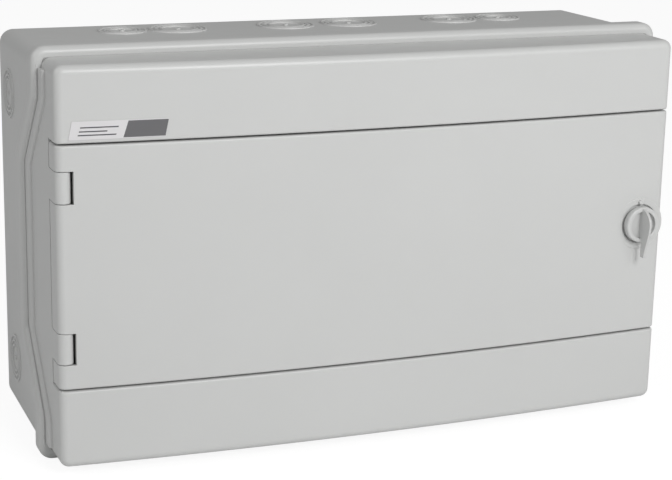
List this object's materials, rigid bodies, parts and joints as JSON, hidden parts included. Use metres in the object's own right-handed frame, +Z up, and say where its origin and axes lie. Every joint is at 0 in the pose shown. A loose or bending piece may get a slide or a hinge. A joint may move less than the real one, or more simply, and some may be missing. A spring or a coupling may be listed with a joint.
{
  "type": "dc combiner box",
  "caption": "Surface-mounted DC combiner box: deep plastic base, cover with a bowed full-width hinged door and quarter-turn latch, over a row of rail-mounted fuse, isolator and surge modules.",
  "frame": {"origin": "centre of the four wall-fixing holes, on the wall face", "axes": "+Z up, the door faces -Y, +X to the right seen from the front"},
  "size_m": [0.432, 0.165, 0.265],
  "materials": {
    "enclosure_plastic": "fine-textured light grey moulding",
    "latch_plastic": "light grey moulding",
    "dark_plastic": "black nylon",
    "foam_rubber": "closed-cell foam",
    "zinc_steel": "zinc plated",
    "module_grey": "light grey thermoplastic",
    "fuse_ceramic": "glazed ceramic body",
    "handle_red": "red thermoplastic",
    "surge_module": "dark grey thermoplastic",
    "label_film": "printed film",
    "copper": "bare copper",
    "brass": "bare brass",
    "wire_red": "PVC insulation",
    "wire_black": "PVC insulation",
    "wire_green": "PVC insulation"
  },
  "bodies": {
    "enclosure": {"base_shell": "enclosure_plastic", "cover_frame": "enclosure_plastic", "latch_catch": "zinc_steel", "cover_seal": "foam_rubber", "cover_screws": "zinc_steel", "rating_label": "label_film", "circuit_strip": "label_film", "din_rail": "zinc_steel", "rail_brackets": "zinc_steel", "rail_screws": "zinc_steel", "fuse_holder_1": "module_grey", "fuse_carrier_1": "module_grey", "fuse_link_1": "fuse_ceramic", "fuse_holder_2": "module_grey", "fuse_carrier_2": "module_grey", "fuse_link_2": "fuse_ceramic", "fuse_holder_3": "module_grey", "fuse_carrier_3": "module_grey", "fuse_link_3": "fuse_ceramic", "fuse_holder_4": "module_grey", "fuse_carrier_4": "module_grey", "fuse_link_4": "fuse_ceramic", "fuse_holder_5": "module_grey", "fuse_carrier_5": "module_grey", "fuse_link_5": "fuse_ceramic", "fuse_holder_6": "module_grey", "fuse_carrier_6": "module_grey", "fuse_link_6": "fuse_ceramic", "fuse_holder_7": "module_grey", "fuse_carrier_7": "module_grey", "fuse_link_7": "fuse_ceramic", "fuse_holder_8": "module_grey", "fuse_carrier_8": "module_grey", "fuse_link_8": "fuse_ceramic", "terminal_screws": "zinc_steel", "isolator_body": "module_grey", "surge_base": "module_grey", "surge_plug_1": "surge_module", "surge_plug_2": "surge_module", "surge_plug_3": "surge_module", "blanking_strip": "enclosure_plastic", "busbar_positive": "copper", "busbar_negative": "copper", "earth_bar": "brass", "earth_feet": "dark_plastic", "earth_screws": "zinc_steel", "wire_positive": "wire_red", "wire_negative": "wire_black", "wire_surge": "wire_black", "wire_earth": "wire_green"},
    "door": {"door_leaf": "enclosure_plastic", "door_seal": "foam_rubber", "hinge_pin_upper": "zinc_steel", "hinge_pin_lower": "zinc_steel", "latch_bush": "dark_plastic", "latch_seal": "foam_rubber"},
    "latch": {"latch_knob": "latch_plastic", "latch_cam": "zinc_steel", "latch_screw": "zinc_steel"},
    "isolator_handle": {"isolator_handle": "handle_red"}
  },
  "joints": [
    {"name": "door_hinge", "type": "hinge", "parent": "enclosure", "child": "door", "pos_m": [-0.205, -0.143, 0.00175], "axis": [0, 0, -1], "range_deg": [0, 160]},
    {"name": "latch_turn", "type": "hinge", "parent": "door", "child": "latch", "pos_m": [0.191, -0.15, 0.00175], "axis": [0, 1, 0], "range_deg": [0, 90]},
    {"name": "isolator_turn", "type": "hinge", "parent": "enclosure", "child": "isolator_handle", "pos_m": [0.018, -0.14, 0.00175], "axis": [0, 1, 0], "range_deg": [0, 90]}
  ]
}
